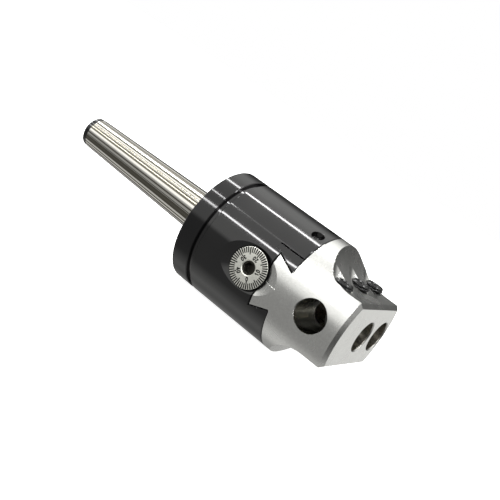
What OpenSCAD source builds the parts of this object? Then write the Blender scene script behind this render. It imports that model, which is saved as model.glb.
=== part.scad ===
// Adjustable boring head: a round head on a taper shank, with a dovetail tool slide
// that a graduated feed screw moves sideways, and three bores for boring bars.
// +X runs along the spindle axis from the shank to the cutting end, the graduated dial
// faces -Y and the clamp screws face +Z. The origin is on the spindle axis, at the
// gauge line of the taper, which is also the flange's back face. Millimetres.

/* [Head] */
// Diameter of the flange, the head and the slide's nose
head_d = 50.8; // [48:0.1:62]
// Thickness of the flange on the taper shank
flange_t = 8.0; // [6:0.1:12]
// Width of the groove between the flange and the head
groove_w = 2.2; // [1:0.1:4]
// Depth of the groove
groove_depth = 1.2; // [0.5:0.1:3]
// Length of the head's full-diameter part
head_l = 38.0; // [36:0.1:50]
// Small chamfer that breaks the round outer edges
edge_break = 0.3; // [0.1:0.1:0.8]

/* [Taper shank] */
// Diameter at the gauge line (Morse taper number 2)
gauge_d = 17.78; // [16:0.01:24]
// Loss of diameter per millimetre of length
taper_rate = 0.04995; // [0.03:0.0001:0.06]
// Length from the gauge line to the small end
shank_l = 78.8; // [60:0.1:100]
// Length of the unground nose at the small end
shank_nose_l = 3.0; // [1:0.1:5]
// Radial step from the ground taper down to the nose
shank_nose_step = 0.2; // [0.1:0.05:0.8]
// Tapping diameter of the drawbar thread
drawbar_hole_d = 8.5; // [6:0.1:9]
// Depth of the drawbar thread
drawbar_hole_l = 26.0; // [12:0.5:40]
// Mouth diameter of the centre in the small end
centre_mouth_d = 10.4; // [9.5:0.1:11]
// Diameter of the spigot that screws into the head
spigot_d = 26.0; // [20:0.1:30]
// Length of the spigot
spigot_l = 15.0; // [8:0.1:16]
// Free depth beyond the spigot
spigot_relief = 1.5; // [0.5:0.1:2]

/* [Tool slide] */
// Length of the slide's nose in front of the head
nose_l = 27.8; // [25:0.1:40]
// Width across the nose flats
nose_w = 27.6; // [24:0.1:32]
// Radius of the scoops behind the flats
scoop_r = 17.5; // [14:0.1:18]
// Distance from the nose's front face to the centre of the scoop on the clamp screws' side
scoop_back_top = 6.8; // [6:0.1:10]
// Distance from the nose's front face to the centre of the scoop on the other side
scoop_back_under = 8.8; // [6:0.1:10]
// Bevel all round the front face
front_bevel = 1.5; // [0.5:0.1:2.5]

/* [Dovetail] */
// Depth of the dovetail slot below the head's front face
slot_depth = 8.8; // [7:0.1:10]
// Width at the slot's floor
slot_floor_w = 23.4; // [22:0.1:26]
// Width at the head's front face
slot_mouth_w = 16.8; // [15:0.1:18]
// Play between the slide and the slot's faces
slide_clear = 0.05; // [0.03:0.01:0.15]
// Gap between the slide's tail and the slot's floor
tail_gap = 0.1; // [0.05:0.01:0.3]

/* [Gib] */
// Distance from the spindle axis to the gib's outer face
gib_face = 13.9; // [13:0.1:15]
// Open slit between the gib and the head
gib_slit = 0.5; // [0.2:0.05:0.8]
// Depth of the gib's seat below the slot's floor
gib_heel = 2.4; // [1:0.1:3]
// Diameter of the gib screws
gib_screw_d = 5.0; // [4:0.1:6.5]
// Distance of the gib screws behind the head's front face
gib_screw_back = 4.4; // [3.5:0.1:5.5]
// Spacing of the gib screws
gib_screw_pitch = 11.4; // [9:0.1:13]
// Depth of the gib screws below the head's surface
gib_screw_sink = 1.2; // [0.5:0.1:3]
// Diameter of the dog point
dog_d = 3.4; // [2.8:0.1:3.8]
// Length of the dog point inside the gib
dog_l = 1.3; // [0.8:0.1:1.8]

/* [Boring bar bores] */
// Diameter of the bar bores
bar_d = 12.7; // [10:0.1:13]
// Depth of the two bores in the front face
bar_depth = 26.0; // [18:0.1:27]
// Wall outside the offset bore
offset_wall = 2.75; // [2.2:0.05:5]
// Distance from the nose's front face to the side bore's axis
side_bore_back = 13.0; // [11:0.1:16]
// Chamfer at the bore mouths
mouth_chamfer = 0.4; // [0.2:0.1:0.8]

/* [Clamp screws] */
// Diameter of the bar clamp screws
clamp_d = 8.0; // [6:0.1:8]
// Length of the clamp screws
clamp_l = 9.0; // [8:0.1:9.2]
// Height of the side bore's clamp screw above the flat
clamp_proud_side = 1.9; // [1.9:0.1:4]
// Height of the centre bore's clamp screw above the flat
clamp_proud_centre = 2.6; // [1.9:0.1:4]
// Height of the offset bore's clamp screw above the flat
clamp_proud_offset = 2.6; // [1.9:0.1:4]
// Distance of the clamp screws in front of the side bore's axis
clamp_ahead = 1.0; // [0:0.1:2]
// Full angle of the countersinks round the clamp screws
clamp_cone = 60; // [40:1:64]
// Depth at which the countersinks begin below the flat
clamp_cone_sink = 0.3; // [0.1:0.1:0.8]

/* [Feed screw and dial] */
// Distance of the feed screw's axis behind the slot's floor
screw_back = 6.5; // [5.4:0.1:6.6]
// Diameter of the graduated dial
dial_d = 16.2; // [14:0.1:19]
// Thickness of the dial
dial_t = 2.7; // [2:0.1:4]
// Depth of the dial's face below the head's crown
dial_sink = 0.6; // [0.1:0.1:1]
// Width of the open ring between the dial and its pocket
dial_ring = 0.3; // [0.2:0.1:1]
// Diameter of the dish round the dial, at the level of the head's crown
dish_d = 26.0; // [22:0.1:28]
// Slope of the dish
dish_angle = 20.0; // [15:0.5:30]
// Gap under the dial
dial_gap = 0.1; // [0.05:0.05:0.3]
// Diameter of the journal behind the dial
journal_d = 6.4; // [6.2:0.1:7]
// Diameter of the feed thread
feed_d = 6.0; // [5:0.1:6.1]
// Diameter of the far journal
tail_journal_d = 4.8; // [3.5:0.1:4.9]
// Outer diameter of both bushes
bush_d = 9.4; // [8.4:0.1:9.6]
// Distance from the spindle axis to the dial bush's inner end
bush_end = 14.0; // [12:0.1:16]
// Length of the far bush
far_bush_l = 6.9; // [4:0.1:7.5]
// Thickness of the spring washer
washer_t = 0.6; // [0.3:0.1:0.8]
// Length of the end collar
collar_l = 3.0; // [2:0.1:3.2]
// Diameter of the pin through the end collar
collar_pin_d = 1.5; // [1:0.1:1.6]
// Width of the index line on the dish, which is cut half as deep
index_w = 0.5; // [0.2:0.05:0.6]

/* [Feed nut] */
// Diameter of the round nut
nut_d = 11.0; // [9.5:0.1:12]
// Depth of the nut in the slide's tail
nut_seat = 5.5; // [4:0.1:6]
// Way of the slide
travel = 15.0; // [8:0.1:15]
// Free space round the nut in its channel
nut_clear = 0.3; // [0.2:0.05:0.6]
// Diameter of the cross pin
nut_pin_d = 3.0; // [2:0.1:3.5]
// Length of the cross pin
nut_pin_l = 18.0; // [13:0.5:19]

/* [Sockets and fits] */
// Key size of the clamp screws and the dial
key_large = 4.0; // [3:0.5:4]
// Diameter of the round mouth of the dial's socket
dial_mouth_d = 5.4; // [4.8:0.1:6]
// Key size of the gib screws
key_small = 2.5; // [2:0.5:3]
// Depth of the key sockets
socket_depth = 3.0; // [2:0.1:4]
// Radial play of turned parts in their bores
run_clear = 0.05; // [0.02:0.01:0.1]

/* [Hidden] */
$fn = 72;

// How far a cutting solid runs past the face that it cuts
past = 1.0;

head_r = head_d / 2;
bar_r = bar_d / 2;

// Stations along the spindle axis
head_back_x = flange_t + groove_w;
front_x = head_back_x + head_l;
nose_x = front_x + nose_l;
floor_x = front_x - slot_depth;
screw_x = floor_x - screw_back;
gib_back_x = floor_x - gib_heel;
gib_screw_x = front_x - gib_screw_back;
side_bore_x = nose_x - side_bore_back;
clamp_x = side_bore_x + clamp_ahead;
nose_back_x = front_x + slide_clear;
tail_back_x = floor_x + tail_gap;
spigot_end_x = flange_t + spigot_l;

// Places across the head
flat_z = nose_w / 2;
scoop_z = flat_z + scoop_r;
offset_y = head_r - offset_wall - bar_r;
gib_wall_z = gib_face + gib_slit;
gib_inner_z = slot_floor_w / 2 + 0.2;
flank_rate = (slot_floor_w - slot_mouth_w) / 2 / slot_depth;

// Stations along the feed screw
dial_face_y = dial_sink - head_r;
dial_back_y = dial_face_y + dial_t;
pocket_floor_y = dial_back_y + dial_gap;
channel_low_y = -bush_end;
nut_y = channel_low_y + nut_clear + nut_d / 2;
channel_high_y = nut_y + nut_d / 2 + travel + nut_clear;
far_bush_y = channel_high_y + far_bush_l;
collar_y = far_bush_y + washer_t;
screw_end_y = collar_y + collar_l + 0.4;
collar_d = bush_d - 0.2;
pocket_r = dial_d / 2 + dial_ring;
dish_depth = (dish_d / 2 - pocket_r) * tan(dish_angle);
nut_far_x = screw_x - nut_d / 2;
nut_pin_x = tail_back_x + nut_seat * 0.55;

// Half the width between the dovetail's flanks at a station
function flank(x) = slot_floor_w / 2 - (x - floor_x) * flank_rate;

// Height of the head's surface above its axis plane
function crown(y) = sqrt(head_r * head_r - y * y);

module along_x(x) {
    translate([x, 0, 0]) rotate([0, 90, 0]) children();
}

module along_y(x, y) {
    translate([x, y, 0]) rotate([-90, 0, 0]) children();
}

module along_z(x, y, z) {
    translate([x, y, z]) children();
}

// An outline drawn in X and Z, carried across the whole head
module across_head() {
    translate([0, head_d, 0]) rotate([90, 0, 0]) linear_extrude(2 * head_d) children();
}

// A round bar along X with both outer edges broken
module broken_bar(x_low, x_high, radius, low_break, high_break) {
    along_x(x_low) rotate_extrude() polygon([
        [0, 0],
        [radius - low_break, 0],
        [radius, low_break],
        [radius, x_high - x_low - high_break],
        [radius - high_break, x_high - x_low],
        [0, x_high - x_low]
    ]);
}

// Hexagon socket, cut downwards from its mouth
module socket(key, depth) {
    translate([0, 0, -depth]) cylinder(d = key / cos(30), h = depth + past, $fn = 6);
}

// ---- Taper shank -------------------------------------------------------------

function shank_r(back) = (gauge_d - back * taper_rate) / 2;

module shank_outline() {
    ground_l = shank_l - shank_nose_l;
    nose_r = shank_r(ground_l) - shank_nose_step;
    polygon([
        [0, -shank_l],
        [nose_r - 0.8, -shank_l],
        [nose_r, 0.8 - shank_l],
        [nose_r, -ground_l],
        [shank_r(ground_l), -ground_l],
        [shank_r(0), 0],
        [head_r - edge_break, 0],
        [head_r, edge_break],
        [head_r, flange_t - edge_break],
        [head_r - edge_break, flange_t],
        [spigot_d / 2, flange_t],
        [spigot_d / 2, spigot_end_x - past],
        [spigot_d / 2 - past, spigot_end_x],
        [0, spigot_end_x]
    ]);
}

module taper_shank() {
    centre_l = (centre_mouth_d - drawbar_hole_d) / 2 * sqrt(3);
    color("silver") difference() {
        along_x(0) rotate_extrude() shank_outline();
        along_x(-shank_l - past) cylinder(d = drawbar_hole_d, h = drawbar_hole_l + past);
        along_x(-shank_l) cylinder(d1 = centre_mouth_d, d2 = drawbar_hole_d, h = centre_l);
    }
}

// ---- Head --------------------------------------------------------------------

// The dovetail slot with the gib's seat beside it
module slot_outline() {
    polygon([
        [floor_x, -slot_floor_w / 2],
        [front_x, -slot_mouth_w / 2],
        [front_x + past, -slot_mouth_w / 2],
        [front_x + past, gib_wall_z],
        [gib_back_x, gib_wall_z],
        [gib_back_x, gib_inner_z],
        [floor_x, gib_inner_z]
    ]);
}

// The dial's round pocket and the shallow cone that leads down to it
module dial_pocket() {
    along_y(screw_x, -head_r - past) {
        cylinder(r = pocket_r, h = pocket_floor_y + head_r + past);
        cylinder(r1 = dish_d / 2 + past / tan(dish_angle), r2 = pocket_r, h = dish_depth + past);
    }
}

// A line cut down the dish's slope, just past its rim
module index_line() {
    slope_l = (dish_d / 2 - pocket_r) / cos(dish_angle);
    translate([screw_x + dish_d / 2, -head_r, 0]) rotate([0, 0, -dish_angle])
        translate([-slope_l, -past, -index_w / 2])
            cube([slope_l + past, past + index_w / 2, index_w]);
}

module gib_screw_holes() {
    for (k = [-1, 0, 1])
        along_z(gib_screw_x, k * gib_screw_pitch, gib_face)
            cylinder(r = gib_screw_d / 2 + run_clear, h = head_r);
}

module head_body() {
    channel_back_x = nut_far_x - nut_clear;
    channel_w = nut_d + 2 * nut_clear;
    color("dimgray") difference() {
        union() {
            along_x(flange_t) cylinder(r = head_r - groove_depth, h = groove_w + past);
            broken_bar(head_back_x, front_x, head_r, edge_break, edge_break);
        }
        along_x(flange_t - past)
            cylinder(d = spigot_d + 2 * run_clear, h = spigot_l + spigot_relief + past);
        across_head() slot_outline();
        dial_pocket();
        translate([channel_back_x, channel_low_y, -channel_w / 2])
            cube([floor_x - channel_back_x + past, channel_high_y - channel_low_y, channel_w]);
        along_y(screw_x, -head_r) cylinder(d = bush_d, h = head_r);
        along_y(screw_x, 0) cylinder(d = bush_d, h = head_r + past);
        gib_screw_holes();
    }
}

// ---- Gib and its screws --------------------------------------------------------

module gib() {
    heel_x = gib_back_x + slide_clear;
    color("dimgray") difference() {
        intersection() {
            across_head() polygon([
                [heel_x, gib_inner_z + slide_clear],
                [heel_x, gib_face],
                [front_x, gib_face],
                [front_x, slot_mouth_w / 2],
                [floor_x, slot_floor_w / 2],
                [floor_x, gib_inner_z + slide_clear]
            ]);
            along_x(gib_back_x) cylinder(r = head_r, h = front_x - gib_back_x + past);
        }
        for (k = [-1, 0, 1])
            along_z(gib_screw_x, k * gib_screw_pitch, gib_face - dog_l - 0.2)
                cylinder(d = dog_d + 4 * run_clear, h = dog_l + past);
    }
}

module gib_screw(y) {
    low_z = gib_face + run_clear;
    screw_l = crown(y) - gib_screw_sink - low_z;
    color("#222222") along_z(gib_screw_x, y, low_z) difference() {
        union() {
            translate([0, 0, -dog_l]) cylinder(d = dog_d, h = dog_l + past);
            cylinder(d = gib_screw_d, h = screw_l - edge_break);
            cylinder(r = gib_screw_d / 2 - edge_break, h = screw_l);
        }
        translate([0, 0, screw_l]) socket(key_small, socket_depth);
    }
}

module gib_screw_dial_side() {
    gib_screw(-gib_screw_pitch);
}

module gib_lock_screw() {
    gib_screw(0);
}

module gib_screw_far_side() {
    gib_screw(gib_screw_pitch);
}

// ---- Tool slide ----------------------------------------------------------------

module tail_outline() {
    back_half = flank(tail_back_x) - slide_clear;
    neck_half = flank(nose_back_x) - slide_clear;
    polygon([
        [tail_back_x, -back_half],
        [nose_back_x, -neck_half],
        [nose_back_x + past, -neck_half],
        [nose_back_x + past, neck_half],
        [nose_back_x, neck_half],
        [tail_back_x, back_half]
    ]);
}

// Everything above one flat: the scoop's arc, the flat itself and the front bevel
module scoop_outline(back) {
    scoop_x = nose_x - back;
    translate([scoop_x, scoop_z]) circle(r = scoop_r, $fn = 96);
    translate([scoop_x - scoop_r, scoop_z]) square([scoop_r + back + past, head_r]);
    translate([scoop_x, flat_z]) square([back + past, head_r]);
    polygon([
        [nose_x - front_bevel, flat_z],
        [nose_x + past, flat_z - front_bevel - past],
        [nose_x + past, flat_z + past],
        [nose_x - front_bevel, flat_z + past]
    ]);
}

module axial_bore(y) {
    translate([0, y, 0]) {
        along_x(nose_x - bar_depth) cylinder(r = bar_r, h = bar_depth + past);
        along_x(nose_x - mouth_chamfer)
            cylinder(r1 = bar_r, r2 = bar_r + mouth_chamfer + past, h = mouth_chamfer + past);
    }
}

module side_bore() {
    along_y(side_bore_x, -head_r - past) cylinder(r = bar_r, h = head_d + 2 * past);
    for (side = [0, 1]) mirror([0, side, 0])
        along_y(side_bore_x, head_r - mouth_chamfer)
            cylinder(r1 = bar_r, r2 = bar_r + mouth_chamfer + past, h = mouth_chamfer + past);
}

module clamp_hole(y) {
    hole_r = clamp_d / 2 + run_clear;
    mouth_r = hole_r + head_r * tan(clamp_cone / 2);
    along_z(clamp_x, y, 0) cylinder(r = hole_r, h = head_r);
    along_z(clamp_x, y, flat_z - clamp_cone_sink) cylinder(r1 = hole_r, r2 = mouth_r, h = head_r);
}

module tool_slide() {
    color("gainsboro") difference() {
        union() {
            intersection() {
                across_head() tail_outline();
                along_x(tail_back_x) cylinder(r = head_r, h = nose_x - tail_back_x);
            }
            broken_bar(nose_back_x, nose_x, head_r, edge_break, front_bevel);
        }
        across_head() scoop_outline(scoop_back_top);
        across_head() mirror([0, 1]) scoop_outline(scoop_back_under);
        dial_pocket();
        index_line();
        axial_bore(0);
        axial_bore(offset_y);
        side_bore();
        for (y = [-offset_y, 0, offset_y]) clamp_hole(y);
        translate([0, nut_y, 0]) {
            along_x(tail_back_x - past) cylinder(d = nut_d, h = nut_seat + past);
            along_z(nut_pin_x, 0, -nut_pin_l / 2) cylinder(d = nut_pin_d, h = nut_pin_l + head_r);
        }
    }
}

// ---- Clamp screws --------------------------------------------------------------

module clamp_screw(y, proud) {
    tip_break = 0.8;
    color("#222222") along_z(clamp_x, y, flat_z + proud - clamp_l) difference() {
        union() {
            cylinder(r1 = clamp_d / 2 - tip_break, r2 = clamp_d / 2, h = tip_break);
            translate([0, 0, tip_break]) cylinder(d = clamp_d, h = clamp_l - 2 * tip_break);
            translate([0, 0, clamp_l - tip_break])
                cylinder(r1 = clamp_d / 2, r2 = clamp_d / 2 - tip_break / 2, h = tip_break);
        }
        translate([0, 0, clamp_l]) socket(key_large, socket_depth);
    }
}

module clamp_screw_side_bore() {
    clamp_screw(-offset_y, clamp_proud_side);
}

module clamp_screw_centre_bore() {
    clamp_screw(0, clamp_proud_centre);
}

module clamp_screw_offset_bore() {
    clamp_screw(offset_y, clamp_proud_offset);
}

// ---- Feed screw ----------------------------------------------------------------

module dial_screw() {
    mouth_r = dial_mouth_d / 2;
    mouth_l = 0.7;
    mouth_break = 0.3;
    color("lightgray") difference() {
        union() {
            along_y(screw_x, dial_face_y) {
                cylinder(r1 = dial_d / 2 - edge_break, r2 = dial_d / 2, h = edge_break);
                translate([0, 0, edge_break]) cylinder(d = dial_d, h = dial_t - edge_break);
                cylinder(d = journal_d, h = channel_low_y - dial_face_y);
                cylinder(d = feed_d, h = channel_high_y - dial_face_y);
                cylinder(d = tail_journal_d, h = screw_end_y - dial_face_y);
            }
        }
        along_y(screw_x, dial_face_y) {
            translate([0, 0, -past]) cylinder(r = mouth_r, h = mouth_l + past);
            translate([0, 0, -past])
                cylinder(r1 = mouth_r + mouth_break + past, r2 = mouth_r, h = mouth_break + past);
            mirror([0, 0, 1]) socket(key_large, socket_depth + mouth_l);
        }
        translate([screw_x, collar_y + collar_l / 2, -collar_d / 2])
            cylinder(d = collar_pin_d, h = collar_d);
    }
}

module dial_bush() {
    color("goldenrod") along_y(screw_x, pocket_floor_y) difference() {
        cylinder(d = bush_d, h = channel_low_y - pocket_floor_y);
        translate([0, 0, -past])
            cylinder(r = journal_d / 2 + run_clear, h = channel_low_y - pocket_floor_y + 2 * past);
    }
}

module far_bush() {
    color("goldenrod") along_y(screw_x, channel_high_y) difference() {
        cylinder(d = bush_d, h = far_bush_l);
        translate([0, 0, -past])
            cylinder(r = tail_journal_d / 2 + run_clear, h = far_bush_l + 2 * past);
    }
}

module spring_washer() {
    color("gray") along_y(screw_x, far_bush_y) difference() {
        cylinder(d = collar_d, h = washer_t - run_clear);
        translate([0, 0, -past]) cylinder(d = tail_journal_d + 0.4, h = washer_t + 2 * past);
    }
}

module end_collar() {
    color("gray") difference() {
        along_y(screw_x, collar_y) cylinder(d = collar_d, h = collar_l);
        along_y(screw_x, collar_y - past) cylinder(d = tail_journal_d, h = collar_l + 2 * past);
        translate([screw_x, collar_y + collar_l / 2, -collar_d / 2 - past])
            cylinder(d = collar_pin_d, h = collar_d + 2 * past);
    }
}

module collar_pin() {
    pin_l = collar_d - 1;
    color("dimgray") translate([screw_x, collar_y + collar_l / 2, -pin_l / 2])
        cylinder(d = collar_pin_d, h = pin_l);
}

// ---- Feed nut ------------------------------------------------------------------

module feed_nut() {
    color("goldenrod") difference() {
        translate([0, nut_y, 0]) along_x(nut_far_x)
            cylinder(d = nut_d, h = tail_back_x + nut_seat - nut_far_x);
        along_y(screw_x, nut_y - nut_d) cylinder(r = feed_d / 2 + run_clear, h = 2 * nut_d);
        along_z(nut_pin_x, nut_y, -nut_d) cylinder(d = nut_pin_d, h = 2 * nut_d);
    }
}

module nut_pin() {
    color("dimgray") along_z(nut_pin_x, nut_y, -nut_pin_l / 2)
        cylinder(d = nut_pin_d, h = nut_pin_l);
}

taper_shank();
head_body();
gib();
gib_screw_dial_side();
gib_lock_screw();
gib_screw_far_side();
tool_slide();
clamp_screw_side_bore();
clamp_screw_centre_bore();
clamp_screw_offset_bore();
dial_screw();
dial_bush();
far_bush();
spring_washer();
end_collar();
collar_pin();
feed_nut();
nut_pin();
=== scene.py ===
"""Looks of an adjustable boring head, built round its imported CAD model. Metres, in the CAD frame."""

import math

import bpy
from mathutils import Matrix, Vector


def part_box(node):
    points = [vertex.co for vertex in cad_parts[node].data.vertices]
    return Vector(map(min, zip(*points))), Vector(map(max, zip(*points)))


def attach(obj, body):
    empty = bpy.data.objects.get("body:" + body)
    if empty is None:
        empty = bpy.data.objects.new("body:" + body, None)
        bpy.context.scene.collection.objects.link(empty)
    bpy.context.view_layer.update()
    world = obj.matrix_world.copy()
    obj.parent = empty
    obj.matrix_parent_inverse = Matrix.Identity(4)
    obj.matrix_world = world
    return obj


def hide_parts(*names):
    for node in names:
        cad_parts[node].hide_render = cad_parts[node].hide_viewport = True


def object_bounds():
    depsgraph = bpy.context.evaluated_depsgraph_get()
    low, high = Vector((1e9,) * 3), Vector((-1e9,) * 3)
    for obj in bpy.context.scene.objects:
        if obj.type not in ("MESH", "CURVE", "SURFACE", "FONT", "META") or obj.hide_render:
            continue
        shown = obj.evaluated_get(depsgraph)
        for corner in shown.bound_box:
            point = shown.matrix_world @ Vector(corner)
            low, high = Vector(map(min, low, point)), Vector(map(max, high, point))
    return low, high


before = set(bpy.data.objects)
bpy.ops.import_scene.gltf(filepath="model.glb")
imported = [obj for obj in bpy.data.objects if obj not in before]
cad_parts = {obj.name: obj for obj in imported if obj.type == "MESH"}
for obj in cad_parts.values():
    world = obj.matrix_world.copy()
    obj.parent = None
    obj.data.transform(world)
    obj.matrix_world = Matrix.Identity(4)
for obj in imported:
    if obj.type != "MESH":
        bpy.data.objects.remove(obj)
CAD_BOX = [list(corner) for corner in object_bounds()]

MM = 0.001

# ---- Places taken from the CAD nodes, in millimetres -----------------------------------


def box_mm(node):
    """Low and high corner of a CAD node."""
    low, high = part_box(node)
    return Vector(low) / MM, Vector(high) / MM


SHANK_LOW_X = box_mm("taper_shank")[0].x
SLIDE_LOW, SLIDE_HIGH = box_mm("tool_slide")
NOSE_X = SLIDE_HIGH.x
TAIL_X = SLIDE_LOW.x
FRONT_X = box_mm("head_body")[1].x
DIAL_LOW, DIAL_HIGH = box_mm("dial_screw")
DIAL_R = (DIAL_HIGH.z - DIAL_LOW.z) / 2
DIAL_X = (DIAL_HIGH.x + DIAL_LOW.x) / 2
DIAL_FACE_Y = DIAL_LOW.y

# ---- Camera -------------------------------------------------------------------------

CAMERA_AZIMUTH = 25.17
CAMERA_ELEVATION = 11.15
CAMERA_ROLL = 32.22
CAMERA_DISTANCE = 0.3275
CAMERA_AIM = (0.01801, 0.0, 0.00032)
CAMERA_LENS = 59.1


def view_frame(azimuth, elevation, roll):
    """Right, up and back of a camera that looks at the origin, as unit vectors."""
    a, e, r = (math.radians(v) for v in (azimuth, elevation, roll))
    back = Vector((math.sin(a) * math.cos(e), -math.cos(a) * math.cos(e), math.sin(e)))
    level_right = Vector((math.cos(a), math.sin(a), 0.0))
    level_up = back.cross(level_right)
    right = level_right * math.cos(r) + level_up * math.sin(r)
    return right, back.cross(right), back


def make_camera():
    """A camera at the product view, with no lens shift."""
    right, up, back = view_frame(CAMERA_AZIMUTH, CAMERA_ELEVATION, CAMERA_ROLL)
    data = bpy.data.cameras.new("camera")
    data.lens = CAMERA_LENS
    data.sensor_width = 36.0
    data.clip_start = 0.01
    camera = bpy.data.objects.new("camera", data)
    place = Vector(CAMERA_AIM) + back * CAMERA_DISTANCE
    axes = Matrix((right, up, back)).transposed().to_4x4()
    camera.matrix_world = Matrix.Translation(place) @ axes
    bpy.context.scene.collection.objects.link(camera)
    bpy.context.scene.camera = camera


# ---- Studio -------------------------------------------------------------------------

FLOOR_SIZE = 6.0
BACKDROP = 1.0

# Long strip lamps along the spindle axis: angle round it, width, radiance and both ends
STRIPS = [
    ("strip_low", 37.5, 0.038, 20.0, -1.8, 1.2),
    ("strip_mid", 60.0, 0.014, 40.0, -1.8, -0.37),
    ("strip_mid_faint", 60.0, 0.014, 1.6, -0.37, 1.2),
    ("strip_high", 97.5, 0.038, 22.0, -1.8, 1.2),
]
STRIP_REACH = 0.75

# The studio's brightness at angles round the spindle axis: 0 is the viewer's side and 90 overhead
ROOM = [
    (-180, 0.95), (-160, 0.80), (-150, 0.30), (-115, 0.38), (-98, 0.70), (-80, 0.56), (-66, 0.30),
    (-20, 0.30), (2, 0.32), (9, 1.15), (98, 1.15), (102, 1.4), (120, 1.4), (136, 1.0), (148, 0.38),
    (158, 0.09), (174, 0.09), (180, 0.15),
]

# The dark end of the studio in front of the cutting end: how far along X it starts, and how dark
END_START = 0.62
END_FULL = 0.80
END_SHARE = 0.28


def make_world():
    """A studio that is brighter or darker round the spindle axis, in front of a white backdrop."""
    world = bpy.data.worlds.new("studio")
    bpy.context.scene.world = world
    world.use_nodes = True
    tree = world.node_tree
    tree.nodes.clear()
    make = tree.nodes.new
    link = tree.links.new
    coords = make("ShaderNodeTexCoord")
    parts = make("ShaderNodeSeparateXYZ")
    flip = make("ShaderNodeMath")
    flip.operation = "MULTIPLY"
    flip.inputs[1].default_value = -1.0
    angle = make("ShaderNodeMath")
    angle.operation = "ARCTAN2"
    share = make("ShaderNodeMapRange")
    share.inputs["From Min"].default_value = -math.pi
    share.inputs["From Max"].default_value = math.pi
    ramp = make("ShaderNodeValToRGB")
    brightest = max(value for _, value in ROOM)
    stops = ramp.color_ramp.elements
    while len(stops) < len(ROOM):
        stops.new(0.5)
    for stop, (degrees, value) in zip(stops, ROOM):
        stop.position = (degrees + 180) / 360
        level = value / brightest
        stop.color = (level, level, level * 0.98, 1)
    end = make("ShaderNodeMapRange")
    end.inputs["From Min"].default_value = END_START
    end.inputs["From Max"].default_value = END_FULL
    end.inputs["To Min"].default_value = brightest
    end.inputs["To Max"].default_value = brightest * END_SHARE
    room = make("ShaderNodeBackground")
    paper = make("ShaderNodeBackground")
    paper.inputs["Color"].default_value = (1, 1, 1, 1)
    paper.inputs["Strength"].default_value = BACKDROP
    path = make("ShaderNodeLightPath")
    either = make("ShaderNodeMixShader")
    output = make("ShaderNodeOutputWorld")
    link(coords.outputs["Generated"], parts.inputs[0])
    link(parts.outputs["Y"], flip.inputs[0])
    link(parts.outputs["Z"], angle.inputs[0])
    link(flip.outputs[0], angle.inputs[1])
    link(angle.outputs[0], share.inputs["Value"])
    link(share.outputs[0], ramp.inputs[0])
    link(ramp.outputs[0], room.inputs["Color"])
    link(parts.outputs["X"], end.inputs["Value"])
    link(end.outputs[0], room.inputs["Strength"])
    link(path.outputs["Is Camera Ray"], either.inputs[0])
    link(room.outputs[0], either.inputs[1])
    link(paper.outputs[0], either.inputs[2])
    link(either.outputs[0], output.inputs["Surface"])


def make_strips():
    """The strip lamps, all facing the spindle axis."""
    for name, degrees, width, radiance, low_x, high_x in STRIPS:
        length = high_x - low_x
        data = bpy.data.lights.new(name, "AREA")
        data.shape = "RECTANGLE"
        data.size = length
        data.size_y = width
        data.energy = radiance * math.pi * length * width
        light = bpy.data.objects.new(name, data)
        a = math.radians(degrees)
        away = Vector((0.0, -math.cos(a), math.sin(a)))
        along = Vector((1.0, 0.0, 0.0))
        axes = Matrix((along, away.cross(along), away)).transposed().to_4x4()
        middle = away * STRIP_REACH + along * (low_x + high_x) / 2
        light.matrix_world = Matrix.Translation(middle) @ axes
        light.visible_camera = False
        bpy.context.scene.collection.objects.link(light)


def make_floor():
    """A plain pale floor, evenly lit, just under the object."""
    low = CAD_BOX[0][2]
    half = FLOOR_SIZE / 2
    mesh = bpy.data.meshes.new("floor")
    corners = [(-half, -half, low), (half, -half, low), (half, half, low), (-half, half, low)]
    mesh.from_pydata(corners, [], [(0, 1, 2, 3)])
    floor = bpy.data.objects.new("floor", mesh)
    bpy.context.scene.collection.objects.link(floor)
    material = bpy.data.materials.new("floor")
    material.use_nodes = True
    shader = material.node_tree.nodes["Principled BSDF"]
    shader.inputs["Base Color"].default_value = (0.9, 0.9, 0.9, 1)
    shader.inputs["Roughness"].default_value = 0.9
    shader.inputs["Emission Color"].default_value = (1, 1, 1, 1)
    shader.inputs["Emission Strength"].default_value = 0.95
    mesh.materials.append(material)
    floor.visible_glossy = False
    floor.visible_diffuse = False


# ---- Materials ------------------------------------------------------------------------


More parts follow.
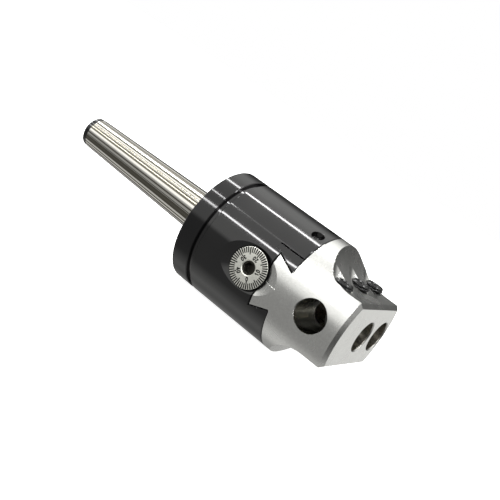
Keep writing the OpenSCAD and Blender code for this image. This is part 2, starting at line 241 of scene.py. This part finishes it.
class Finish:
    """A Principled material and the few node patterns that the finishes share."""

    def __init__(self, name, color, metallic, roughness, ior=1.5):
        self.material = bpy.data.materials.new(name)
        self.material.use_nodes = True
        self.tree = self.material.node_tree
        self.shader = self.tree.nodes["Principled BSDF"]
        self.shader.inputs["Base Color"].default_value = (*color, 1)
        self.shader.inputs["Metallic"].default_value = metallic
        self.shader.inputs["Roughness"].default_value = roughness
        self.shader.inputs["IOR"].default_value = ior
        self.coords = self.tree.nodes.new("ShaderNodeTexCoord").outputs["Object"]

    def node(self, kind, **values):
        made = self.tree.nodes.new(kind)
        for name, value in values.items():
            if hasattr(made, name):
                setattr(made, name, value)
            else:
                made.inputs[name].default_value = value
        return made

    def link(self, source, target):
        self.tree.links.new(source, target)

    def math(self, operation, first, second=None):
        made = self.node("ShaderNodeMath", operation=operation)
        for socket, value in zip(made.inputs, (first, second)):
            if isinstance(value, (int, float)):
                socket.default_value = value
            elif value is not None:
                self.link(value, socket)
        return made.outputs[0]

    def axes(self):
        """The object's own x, y and z, in millimetres."""
        parts = self.node("ShaderNodeSeparateXYZ")
        self.link(self.coords, parts.inputs[0])
        return [self.math("MULTIPLY", parts.outputs[i], 1 / MM) for i in range(3)]

    def noise(self, stretch, scale, detail=2.0, roughness=0.5):
        """Noise over the object's own coordinates, stretched along its axes."""
        mapping = self.node("ShaderNodeMapping")
        mapping.inputs["Scale"].default_value = stretch
        texture = self.node("ShaderNodeTexNoise", Scale=scale, Detail=detail, Roughness=roughness)
        self.link(self.coords, mapping.inputs["Vector"])
        self.link(mapping.outputs[0], texture.inputs["Vector"])
        return texture.outputs["Fac"]

    def round_noise(self, scale, detail=2.0):
        """Noise that changes only with the angle round the spindle axis, so it runs lengthwise."""
        parts = self.node("ShaderNodeSeparateXYZ")
        ring = self.node("ShaderNodeCombineXYZ")
        unit = self.node("ShaderNodeVectorMath", operation="NORMALIZE")
        texture = self.node("ShaderNodeTexNoise", Scale=scale, Detail=detail)
        self.link(self.coords, parts.inputs[0])
        self.link(parts.outputs["Y"], ring.inputs["Y"])
        self.link(parts.outputs["Z"], ring.inputs["Z"])
        self.link(ring.outputs[0], unit.inputs[0])
        self.link(unit.outputs[0], texture.inputs["Vector"])
        return texture.outputs["Fac"]

    def spread(self, source, low, high, from_low=0.3, from_high=0.7):
        made = self.node("ShaderNodeMapRange")
        made.inputs["From Min"].default_value = from_low
        made.inputs["From Max"].default_value = from_high
        made.inputs["To Min"].default_value = low
        made.inputs["To Max"].default_value = high
        self.link(source, made.inputs["Value"])
        return made.outputs[0]

    def mix(self, factor, low, high):
        made = self.node("ShaderNodeMix", data_type="RGBA")
        for index, value in ((6, low), (7, high)):
            if isinstance(value, tuple):
                made.inputs[index].default_value = (*value, 1)
            else:
                self.link(value, made.inputs[index])
        self.link(factor, made.inputs[0])
        return made.outputs[2]

    def bump(self, height, distance, strength=1.0, after=None):
        made = self.node("ShaderNodeBump")
        made.inputs["Distance"].default_value = distance
        made.inputs["Strength"].default_value = strength
        self.link(height, made.inputs["Height"])
        if after is not None:
            self.link(after, made.inputs["Normal"])
        return made.outputs[0]

    def bevel(self, radius):
        made = self.node("ShaderNodeBevel", samples=6)
        made.inputs["Radius"].default_value = radius
        return made.outputs[0]

    def into(self, socket, source):
        self.link(source, self.shader.inputs[socket])


# Colours of the finishes
OXIDE = (0.0022, 0.0022, 0.0026)
OXIDE_WORN = (0.0050, 0.0048, 0.0050)
STEEL = (0.70, 0.70, 0.68)
STEEL_DULL = (0.66, 0.66, 0.64)
STEEL_BRIGHT = (0.74, 0.74, 0.72)
GROUND = (0.86, 0.84, 0.79)
# Dark streaks on the ground taper are painted reflections of the studio
GROUND_REFLECTION_DARK = (0.17, 0.16, 0.13)
# Painted shade, darker than the steel: inside the front bores, inside the side bore, and along the slide's
# joint lines
FRONT_BORE_SHADE = (0.50, 0.48, 0.43)
SIDE_BORE_SHADE = (0.13, 0.13, 0.11)
JOINT_SHADE = (0.004, 0.004, 0.004)
DIAL_SATIN = (0.87, 0.87, 0.80)
DIAL_WORN = (0.74, 0.74, 0.68)
DIAL_RIM = (0.012, 0.012, 0.011)
# Painted shade inside the dial's hexagon socket
DIAL_SOCKET_SHADE = (0.045, 0.043, 0.036)
INK = (0.006, 0.006, 0.005)
INK_WORN = (0.03, 0.03, 0.027)
BRONZE = (0.60, 0.40, 0.18)

# Radius that the shading gives to sharp edges
EDGE_ROUND = 0.2 * MM

# The blackened small end of the shank, in millimetres
SHANK_NOSE_L = 3.05

# The slide's bores and dovetail, in millimetres
BORE_R = 6.42
BORE_FLOOR = 1.5
BORE_LIP = 0.05
SIDE_BORE_X = NOSE_X - 13.0
OFFSET_Y = 16.3
# Width of the painted shade along the slide's joint lines
SHADE_LINE_WIDTH = 0.6
FLANK_RATE = 0.375
MOUTH_HALF_W = 8.4
TAIL_HALF_W = MOUTH_HALF_W + (FRONT_X - TAIL_X) * FLANK_RATE

# The dial's socket and the slight dome of its face, in millimetres
SOCKET_R = 2.75
DIAL_DOME_R = 60.0


def black_oxide(name, roughness, ring_bump, ior=1.6):
    """Glossy black oxide over a turned surface: faint rings, smudges and pin-head specks."""
    finish = Finish(name, OXIDE, 0.0, roughness, ior)
    smudge = finish.noise((1, 1, 1), 90.0, 3.0)
    finish.into("Roughness", finish.spread(smudge, roughness * 0.8, roughness * 1.5))
    finish.into("Base Color", finish.mix(finish.spread(smudge, 0, 1), OXIDE, OXIDE_WORN))
    rings = finish.noise((1, 0.004, 0.004), 9000.0, 1.0)
    speck = finish.noise((1, 1, 1), 1400.0, 2.0)
    fine = finish.bump(rings, 0.003 * MM, ring_bump, after=finish.bevel(EDGE_ROUND))
    finish.into("Normal", finish.bump(speck, 0.004 * MM, 0.16, after=fine))
    return finish.material


def satin_steel(name, color, roughness, stretch=(1, 0.02, 0.02)):
    """Bright machined steel with fine tool marks."""
    finish = Finish(name, color, 1.0, roughness)
    marks = finish.noise(stretch, 5000.0, 2.0)
    cloud = finish.noise((1, 1, 1), 120.0, 3.0)
    finish.into("Roughness", finish.spread(cloud, roughness * 0.85, roughness * 1.2))
    finish.into("Normal", finish.bump(marks, 0.004 * MM, 0.5, after=finish.bevel(EDGE_ROUND)))
    return finish.material


def round_mask(finish, first, first_centre, second, radius):
    """1 within a radius of an axis, given the two coordinates across it."""
    across = finish.math("SUBTRACT", first, first_centre)
    along = finish.math("MULTIPLY", across, across)
    square = finish.math("ADD", along, finish.math("MULTIPLY", second, second))
    return finish.math("LESS_THAN", square, radius * radius)


def side_bore_mask(finish):
    """1 inside the bore that runs across the nose."""
    x, y, z = finish.axes()
    return round_mask(finish, x, SIDE_BORE_X, z, BORE_R)


def front_bore_mask(finish):
    """1 inside the two bores in the front face."""
    x, y, z = finish.axes()
    centre = round_mask(finish, y, 0.0, z, BORE_R)
    offset = round_mask(finish, y, OFFSET_Y, z, BORE_R)
    ahead = finish.math("GREATER_THAN", x, FRONT_X + BORE_FLOOR)
    behind = finish.math("LESS_THAN", x, NOSE_X - BORE_LIP)
    inside = finish.math("MULTIPLY", ahead, behind)
    return finish.math("MULTIPLY", finish.math("MAXIMUM", centre, offset), inside)


def joint_shade_mask(finish):
    """1 on narrow bands of the slide along the dovetail and behind the nose, where the gap's shade is
    painted.
    """
    x, y, z = finish.axes()
    height = finish.math("ABSOLUTE", z)
    narrowing = finish.math("MULTIPLY", finish.math("SUBTRACT", x, TAIL_X), FLANK_RATE)
    inner = finish.math("SUBTRACT", TAIL_HALF_W - SHADE_LINE_WIDTH, narrowing)
    outside = finish.math("GREATER_THAN", height, inner)
    flank = finish.math("MULTIPLY", outside, finish.math("LESS_THAN", x, FRONT_X))
    tail = finish.math("LESS_THAN", x, TAIL_X + SHADE_LINE_WIDTH)
    off_front = finish.math("ABSOLUTE", finish.math("SUBTRACT", x, FRONT_X))
    behind_nose = finish.math("LESS_THAN", off_front, SHADE_LINE_WIDTH / 2)
    collar = finish.math("MULTIPLY", behind_nose, finish.math("GREATER_THAN", height, MOUTH_HALF_W))
    return finish.math("MAXIMUM", flank, finish.math("MAXIMUM", tail, collar))


def slide_steel():
    """Satin steel outside, with painted shade darkening the bores inside and the joint lines."""
    finish = Finish("slide_steel", STEEL, 1.0, 0.30)
    cloud = finish.noise((1, 1, 1), 120.0, 3.0)
    grain = finish.noise((1, 1, 1), 1800.0, 2.0)
    tone = finish.mix(finish.spread(grain, 0, 1), STEEL_DULL, STEEL_BRIGHT)
    # Painted shade in the base colour: dark joint lines and darkened bores
    tone = finish.mix(joint_shade_mask(finish), tone, JOINT_SHADE)
    tone = finish.mix(front_bore_mask(finish), tone, FRONT_BORE_SHADE)
    finish.into("Base Color", finish.mix(side_bore_mask(finish), tone, SIDE_BORE_SHADE))
    finish.into("Roughness", finish.spread(cloud, 0.23, 0.29))
    marks = finish.noise((1, 0.03, 0.03), 5000.0, 2.0)
    finish.into("Normal", finish.bump(marks, 0.003 * MM, 0.5, after=finish.bevel(EDGE_ROUND)))
    return finish.material


def ground_steel():
    """The ground taper with painted reflection streaks running lengthwise, and its blackened flange and
    small end.
    """
    finish = Finish("ground_steel", GROUND, 1.0, 0.10)
    x = finish.axes()[0]
    small_end = finish.math("LESS_THAN", x, SHANK_LOW_X + SHANK_NOSE_L)
    flange = finish.math("GREATER_THAN", x, -0.01)
    black = finish.math("MAXIMUM", small_end, flange)
    # Painted reflection: dark lengthwise streaks in the base colour stand in for the studio reflected in
    # the ground taper
    streaks = finish.round_noise(7.0, 3.0)
    tone = finish.mix(finish.spread(streaks, 0, 1, 0.49, 0.53), GROUND_REFLECTION_DARK, GROUND)
    finish.into("Base Color", finish.mix(black, tone, OXIDE))
    finish.into("Metallic", finish.math("SUBTRACT", 1.0, black))
    marks = finish.noise((1, 0.01, 0.01), 7000.0, 2.0)
    finish.into("Normal", finish.bump(marks, 0.001 * MM, 0.2, after=finish.bevel(EDGE_ROUND)))
    return finish.material


def dial_steel():
    """Satin chrome face, very slightly domed, with a dark rim and painted shade in its hexagon socket."""
    finish = Finish("dial_steel", DIAL_SATIN, 0.75, 0.34)
    x, y, z = finish.axes()
    across = finish.math("SUBTRACT", x, DIAL_X)
    along = finish.math("MULTIPLY", across, across)
    square = finish.math("ADD", along, finish.math("MULTIPLY", z, z))
    radius = finish.math("SQRT", square)
    near_axis = finish.math("LESS_THAN", radius, SOCKET_R)
    socket = finish.math("MULTIPLY", near_axis, finish.math("GREATER_THAN", y, DIAL_FACE_Y + 0.35))
    near_rim = finish.math("GREATER_THAN", radius, DIAL_R - 1.2)
    rim = finish.math("MULTIPLY", near_rim, finish.math("GREATER_THAN", y, DIAL_FACE_Y + 0.15))
    turned = finish.noise((1, 1, 1), 2200.0, 2.0)
    tone = finish.mix(finish.spread(turned, 0, 1), DIAL_SATIN, DIAL_WORN)
    tone = finish.mix(rim, tone, DIAL_RIM)
    # Painted shade: the hexagon socket is darkened in the base colour
    finish.into("Base Color", finish.mix(socket, tone, DIAL_SOCKET_SHADE))
    drop = finish.math("MULTIPLY", square, -MM / (2 * DIAL_DOME_R))
    dome = finish.bump(drop, 1.0, after=finish.bevel(EDGE_ROUND))
    finish.into("Normal", finish.bump(turned, 0.003 * MM, 0.4, after=dome))
    return finish.material


def ink():
    """Black filling of the engraved dial marks, a little worn."""
    finish = Finish("ink", INK, 0.0, 0.7, 1.25)
    worn = finish.spread(finish.noise((1, 1, 1), 1500.0, 3.0), 0, 1, 0.45, 0.75)
    finish.into("Base Color", finish.mix(worn, INK, INK_WORN))
    return finish.material


def paint(node, material):
    """Gives a CAD node its only material."""
    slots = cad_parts[node].data.materials
    slots.clear()
    slots.append(material)


# ---- Pieces ---------------------------------------------------------------------------


def add_mesh(name, points, faces, material, body, place=Matrix.Identity(4)):
    """A smooth-shaded piece from points in millimetres, riding on a CAD body."""
    mesh = bpy.data.meshes.new(name)
    mesh.from_pydata([place @ Vector(p) * MM for p in points], [], faces)
    mesh.validate()
    mesh.shade_smooth()
    mesh.set_sharp_from_angle(angle=math.radians(32))
    mesh.materials.append(material)
    piece = bpy.data.objects.new(name, mesh)
    bpy.context.scene.collection.objects.link(piece)
    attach(piece, body)
    return piece


# -- Dial --

DIAL_LINES = 50
DIAL_ZERO = -63.0
LINE_WIDTH = 0.54
LINE_OUTER = DIAL_R - 0.22
LINE_SHORT = 5.7
LINE_LONG = 5.0
NUMERAL_R = 4.15
NUMERAL_HEIGHT = 1.5
NUMERAL_ADVANCE = 1.2
STROKE = 0.36
MARK_LIFT = 0.012
MARK_DEPTH = 0.03

# Strokes of the numerals in a box one unit high, as chains of points
DIGITS = {
    "0": [[(0.5 + 0.28 * math.sin(t * math.pi / 8), 0.5 + 0.46 * math.cos(t * math.pi / 8))
           for t in range(17)]],
    "1": [[(0.32, 0.78), (0.52, 0.96), (0.52, 0.04)]],
    "2": [[(0.24, 0.74), (0.34, 0.92), (0.52, 0.97), (0.70, 0.90), (0.76, 0.72), (0.68, 0.52),
           (0.24, 0.05), (0.78, 0.05)]],
    "3": [[(0.26, 0.84), (0.50, 0.97), (0.72, 0.86), (0.70, 0.62), (0.46, 0.53), (0.74, 0.42), (0.76, 0.18),
           (0.50, 0.03), (0.24, 0.14)]],
    "4": [[(0.64, 0.04), (0.64, 0.96), (0.20, 0.32), (0.84, 0.32)]],
}


def dial_point(radius, angle, lift):
    """A point on the dial's face, at an angle counter-clockwise from +X as seen from -Y."""
    return (DIAL_X + radius * math.cos(angle), DIAL_FACE_Y - lift, radius * math.sin(angle))


def slab(outline):
    """Points and faces of a thin slab over an outline of (radius, angle) pairs on the dial."""
    count = len(outline)
    points = [dial_point(r, a, lift) for lift in (MARK_LIFT, -MARK_DEPTH) for r, a in outline]
    faces = [tuple(range(count)), tuple(reversed(range(count, 2 * count)))]
    faces += [(i, count + i, count + (i + 1) % count, (i + 1) % count) for i in range(count)]
    return points, faces


def polar(x, z):
    """Radius and angle of a point on the dial's face."""
    return math.hypot(x, z), math.atan2(z, x)


def stroke_outlines(chain, centre_angle, shift):
    """Each segment of a numeral's stroke as a small four-cornered outline on the dial."""
    outlines = []
    for (u0, v0), (u1, v1) in zip(chain, chain[1:]):
        ends = []
        for u, v in ((u0, v0), (u1, v1)):
            across = (u - 0.5) * NUMERAL_HEIGHT * 0.8 + shift
            outwards = NUMERAL_R - (v - 0.5) * NUMERAL_HEIGHT
            # The numerals' feet point to the rim, so they read from the rim inwards
            x = outwards * math.cos(centre_angle) - across * math.sin(centre_angle)
            z = outwards * math.sin(centre_angle) + across * math.cos(centre_angle)
            ends.append(Vector((x, z)))
        along = (ends[1] - ends[0]).normalized() * STROKE / 2
        side = Vector((-along.y, along.x))
        start, stop = ends[0] - along, ends[1] + along
        corners = [start + side, start - side, stop - side, stop + side]
        outlines.append([polar(*corner) for corner in corners])
    return outlines


def dial_marks(material):
    """The dial's lines and its numerals in tens, as one thin raised piece."""
    outlines = []
    for line in range(DIAL_LINES):
        angle = math.radians(DIAL_ZERO + line * 360 / DIAL_LINES)
        inner = LINE_LONG if line % 5 == 0 else LINE_SHORT
        half_out = LINE_WIDTH / 2 / LINE_OUTER
        half_in = LINE_WIDTH * 0.8 / 2 / inner
        outer_edge = [(LINE_OUTER, angle - half_out), (LINE_OUTER, angle + half_out)]
        outlines.append(outer_edge + [(inner, angle + half_in), (inner, angle - half_in)])
    for number in range(5):
        angle = math.radians(DIAL_ZERO + number * 72)
        text = str(number * 10)
        for place, digit in enumerate(text):
            shift = (place - (len(text) - 1) / 2) * NUMERAL_ADVANCE
            for chain in DIGITS[digit]:
                outlines += stroke_outlines(chain, angle, shift)
    points = []
    faces = []
    for outline in outlines:
        more_points, more_faces = slab(outline)
        faces += [tuple(i + len(points) for i in face) for face in more_faces]
        points += more_points
    return add_mesh("dial_marks", points, faces, material, "dial")


# -- Set screws --

SCREW_SIDES = 48
ROWS_PER_TURN = 8
SOCKET_DEPTH = 3.0
POINT_R = 0.001
THREAD_FLANK = 1.35


def even_ring(radius, z):
    """The same radius and height all the way round."""
    return [(radius, z)] * SCREW_SIDES


def screw_end_rings(root, chamfer, bottom, dog_d, dog_l):
    """Rings of the lower end, which is a flat point or a dog point."""
    if not dog_l:
        return [even_ring(POINT_R, bottom + 0.5), even_ring(root - chamfer * 0.7, bottom)]
    dog_r = dog_d / 2
    return [even_ring(POINT_R, bottom), even_ring(dog_r - 0.25, bottom),
            even_ring(dog_r, bottom + 0.25), even_ring(dog_r, bottom + dog_l)]


def thread_rings(crest, root, chamfer, bottom, length, pitch):
    """Rings of a thread whose crest winds round the axis and eases into a chamfer at both ends."""
    rows = int(length / pitch * ROWS_PER_TURN)
    rings = []
    for row in range(rows + 1):
        z = length * row / rows
        from_end = min(z, length - z)
        ring = []
        for side in range(SCREW_SIDES):
            turn = (z / pitch - side / SCREW_SIDES) % 1.0
            radius = root + (crest - root) * min(1.0, THREAD_FLANK * abs(2 * turn - 1))
            if from_end < chamfer:
                radius = min(radius, crest - chamfer + from_end)
            if from_end < 0.01:
                radius = max(radius, root - chamfer * 0.4)
            ring.append((radius, bottom + z))
        rings.append(ring)
    return rings


def socket_rings(key, top, depth):
    """Rings of a hexagon socket with a small round mouth and a drilled floor."""
    flat = key / 2
    hexagon = []
    for side in range(SCREW_SIDES):
        angle = 2 * math.pi * side / SCREW_SIDES
        within = (angle + math.pi / 6) % (math.pi / 3) - math.pi / 6
        hexagon.append(flat / math.cos(within))
    mouth = flat / math.cos(math.pi / 6) + 0.12
    return [even_ring(mouth, top), [(r, top - 0.35) for r in hexagon],
            [(r, top - depth) for r in hexagon], even_ring(POINT_R, top - depth - 0.9)]


def set_screw(node, body, material, diameter, pitch, key, dog_d=0.0, dog_l=0.0):
    """A threaded set screw with a hexagon socket, in place of a plain CAD node whose axis is +Z."""
    low, high = box_mm(node)
    centre = (low + high) / 2
    crest = diameter / 2 - 0.02
    root = crest - 0.5 * pitch
    chamfer = 0.6 * pitch
    rings = screw_end_rings(root, chamfer, low.z, dog_d, dog_l)
    rings += thread_rings(crest, root, chamfer, low.z + dog_l, high.z - low.z - dog_l, pitch)
    rings += socket_rings(key, high.z, SOCKET_DEPTH)
    points = []
    for ring in rings:
        for side, (radius, z) in enumerate(ring):
            angle = 2 * math.pi * side / SCREW_SIDES
            points.append((centre.x + radius * math.cos(angle), centre.y + radius * math.sin(angle), z))
    faces = []
    for row in range(len(rings) - 1):
        for side in range(SCREW_SIDES):
            after = (side + 1) % SCREW_SIDES
            a, b = row * SCREW_SIDES, (row + 1) * SCREW_SIDES
            faces.append((a + side, a + after, b + after, b + side))
    last = (len(rings) - 1) * SCREW_SIDES
    faces.append(tuple(reversed(range(SCREW_SIDES))))
    faces.append(tuple(last + side for side in range(SCREW_SIDES)))
    piece = add_mesh(node + "_threaded", points, faces, material, body)
    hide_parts(node)


# The screws' nodes and bodies, then their sizes in millimetres
CLAMP_SCREWS = [
    ("clamp_screw_side_bore", "clamp_side"),
    ("clamp_screw_centre_bore", "clamp_centre"),
    ("clamp_screw_offset_bore", "clamp_offset"),
]
CLAMP_D, CLAMP_PITCH, CLAMP_KEY = 8.0, 1.25, 4.0
GIB_SCREWS = [
    ("gib_screw_dial_side", "gib_dial_side"),
    ("gib_lock_screw", "gib_lock"),
    ("gib_screw_far_side", "gib_far_side"),
]
GIB_D, GIB_PITCH, GIB_KEY = 5.0, 0.8, 2.5
GIB_DOG_D, GIB_DOG_L = 3.4, 1.3


def dress():
    """Paints the CAD nodes and adds the threaded screws and the dial's marks."""
    black = black_oxide("black_oxide", 0.07, 0.25)
    screw = black_oxide("screw_black", 0.14, 0.1, 1.5)
    steel = satin_steel("plain_steel", STEEL, 0.3)
    bronze = satin_steel("bronze", BRONZE, 0.35)
    paint("taper_shank", ground_steel())
    paint("tool_slide", slide_steel())
    paint("dial_screw", dial_steel())
    for node in ("head_body", "gib"):
        paint(node, black)
    for node in ("dial_bush", "far_bush", "feed_nut"):
        paint(node, bronze)
    for node in ("spring_washer", "end_collar", "collar_pin", "nut_pin"):
        paint(node, steel)
    for node, body in CLAMP_SCREWS:
        paint(node, screw)
        set_screw(node, body, screw, CLAMP_D, CLAMP_PITCH, CLAMP_KEY)
    for node, body in GIB_SCREWS:
        paint(node, screw)
        set_screw(node, body, screw, GIB_D, GIB_PITCH, GIB_KEY, GIB_DOG_D, GIB_DOG_L)
    dial_marks(ink())


make_camera()
make_world()
make_strips()
make_floor()
dress()
bpy.context.scene.view_settings.view_transform = "Standard"
